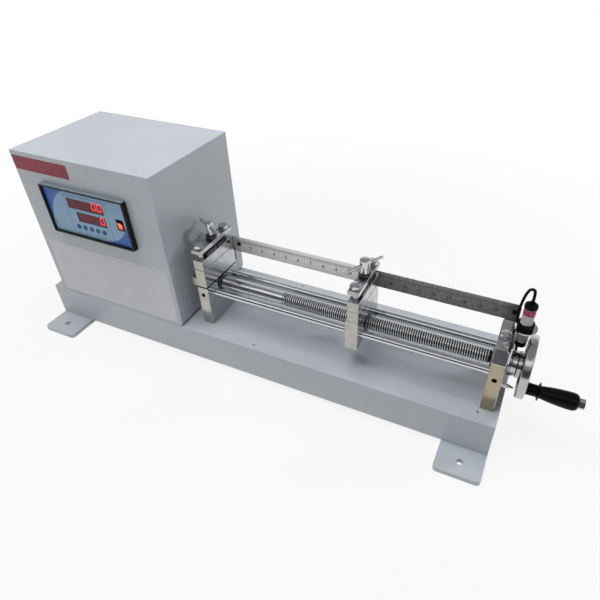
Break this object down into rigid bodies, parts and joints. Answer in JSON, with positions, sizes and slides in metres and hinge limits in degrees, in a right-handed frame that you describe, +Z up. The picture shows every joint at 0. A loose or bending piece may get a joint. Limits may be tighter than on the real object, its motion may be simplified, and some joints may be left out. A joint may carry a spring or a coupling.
{
  "type": "wire elongation testing machine",
  "caption": "Bench machine that stretches a wire between a fixed and a screw-driven clamp until it parts, with a handwheel, a rule and a digital counter.",
  "frame": {"origin": "on the bench, under the middle of the whole machine", "axes": "+X from the cabinet towards the handwheel, -Y the operator's side, +Z up"},
  "size_m": [1.0448, 0.335, 0.3853],
  "materials": {
    "grey_paint": "light grey stove enamel, satin",
    "ground_steel": "ground and lightly polished",
    "dark_steel": "blackened",
    "chrome_plate": "bright plate",
    "bronze": "turned",
    "bright_metal": "polished",
    "black_plastic": "satin",
    "black_cable": "satin jacket",
    "counter_face": "satin film over plastic",
    "smoked_red_window": "clear dark red",
    "red_rocker": "glossy, lit from inside",
    "key_blue": "satin",
    "sensor_metal": "plated"
  },
  "bodies": {
    "machine": {"base_shell": "grey_paint", "left_foot_strap": "grey_paint", "right_foot_strap": "grey_paint", "cabinet_shell": "grey_paint", "cabinet_rear_cover": "grey_paint", "fixed_post": "ground_steel", "end_post": "ground_steel", "fixed_clamp_seat": "ground_steel", "fixed_lower_jaw": "ground_steel", "fixed_bridge": "ground_steel", "end_post_cap": "ground_steel", "fixed_rule_strap": "dark_steel", "end_rule_strap": "dark_steel", "front_guide_rod": "chrome_plate", "rear_guide_rod": "chrome_plate", "fixed_front_bolt": "chrome_plate", "fixed_rear_bolt": "chrome_plate", "cap_bolt": "chrome_plate", "fixed_post_bush": "bronze", "end_post_bush": "bronze", "steel_rule": "bright_metal", "sensor_bracket": "bright_metal", "mains_inlet": "black_plastic", "counter_bezel": "black_plastic", "rocker_frame": "black_plastic", "fixed_lock_nut": "black_plastic", "sensor_tip": "black_plastic", "sensor_cap": "black_plastic", "sensor_upper_nut": "black_plastic", "sensor_lower_nut": "black_plastic", "cable_gland": "black_plastic", "sensor_cable": "black_cable", "counter_case": "counter_face", "display_window": "smoked_red_window", "sensor_barrel": "sensor_metal"},
    "carriage": {"carriage_body": "ground_steel", "lead_nut": "bronze", "moving_clamp_riser": "ground_steel", "moving_lower_jaw": "ground_steel", "moving_bridge": "ground_steel", "moving_front_bolt": "chrome_plate", "moving_rear_bolt": "chrome_plate", "moving_lock_nut": "black_plastic"},
    "fixed_jaw": {"fixed_upper_jaw": "dark_steel"},
    "fixed_screw": {"fixed_clamp_screw": "chrome_plate", "fixed_tommy_bar": "chrome_plate"},
    "moving_jaw": {"moving_upper_jaw": "dark_steel"},
    "moving_screw": {"moving_clamp_screw": "chrome_plate", "moving_tommy_bar": "chrome_plate"},
    "crank": {"lead_screw": "ground_steel", "handwheel": "bright_metal", "hub_collar": "bright_metal", "handle_bolt": "chrome_plate"},
    "grip": {"handle_grip": "black_plastic"},
    "rocker": {"rocker_button": "red_rocker"},
    "key_1_body": {"key_1": "key_blue"},
    "key_2_body": {"key_2": "key_blue"},
    "key_3_body": {"key_3": "key_blue"},
    "key_4_body": {"key_4": "key_blue"},
    "key_5_body": {"key_5": "key_blue"}
  },
  "joints": [
    {"name": "lead_screw_turn", "type": "hinge", "parent": "machine", "child": "crank", "pos_m": [-0.0574, -0.031, 0.149], "axis": [-1, 0, 0], "range_deg": [-11700, 17100]},
    {"name": "carriage_slide", "type": "slide", "parent": "machine", "child": "carriage", "axis": [1, 0, 0], "range_m": [-0.13, 0.19]},
    {"name": "grip_spin", "type": "hinge", "parent": "crank", "child": "grip", "pos_m": [0.4726, -0.03923, 0.1119], "axis": [1, 0, 0], "continuous": true},
    {"name": "fixed_screw_turn", "type": "hinge", "parent": "fixed_jaw", "child": "fixed_screw", "pos_m": [-0.1444, -0.031, 0.25], "axis": [0, 0, 1], "range_deg": [0, 720]},
    {"name": "fixed_jaw_lift", "type": "slide", "parent": "machine", "child": "fixed_jaw", "axis": [0, 0, 1], "range_m": [0, 0.003]},
    {"name": "moving_screw_turn", "type": "hinge", "parent": "moving_jaw", "child": "moving_screw", "pos_m": [0.1531, -0.031, 0.25], "axis": [0, 0, 1], "range_deg": [0, 720]},
    {"name": "moving_jaw_lift", "type": "slide", "parent": "carriage", "child": "moving_jaw", "axis": [0, 0, 1], "range_m": [0, 0.003]},
    {"name": "rocker_tilt", "type": "hinge", "parent": "machine", "child": "rocker", "pos_m": [-0.2658, -0.1115, 0.28682], "axis": [1, 0, 0], "range_deg": [-14, 0]},
    {"name": "key_1_press", "type": "slide", "parent": "machine", "child": "key_1_body", "axis": [0, 1, 0], "range_m": [0, 0.0006], "stiffness_N_per_m": 800, "springref_m": -0.0006},
    {"name": "key_2_press", "type": "slide", "parent": "machine", "child": "key_2_body", "axis": [0, 1, 0], "range_m": [0, 0.0006], "stiffness_N_per_m": 800, "springref_m": -0.0006},
    {"name": "key_3_press", "type": "slide", "parent": "machine", "child": "key_3_body", "axis": [0, 1, 0], "range_m": [0, 0.0006], "stiffness_N_per_m": 800, "springref_m": -0.0006},
    {"name": "key_4_press", "type": "slide", "parent": "machine", "child": "key_4_body", "axis": [0, 1, 0], "range_m": [0, 0.0006], "stiffness_N_per_m": 800, "springref_m": -0.0006},
    {"name": "key_5_press", "type": "slide", "parent": "machine", "child": "key_5_body", "axis": [0, 1, 0], "range_m": [0, 0.0006], "stiffness_N_per_m": 800, "springref_m": -0.0006}
  ],
  "couplings": [
    {"joint": "carriage_slide", "follows": "lead_screw_turn", "m_per_rad": 0.00063662},
    {"joint": "fixed_screw_turn", "follows": "fixed_jaw_lift", "rad_per_m": 4188.8},
    {"joint": "moving_screw_turn", "follows": "moving_jaw_lift", "rad_per_m": 4188.8}
  ]
}
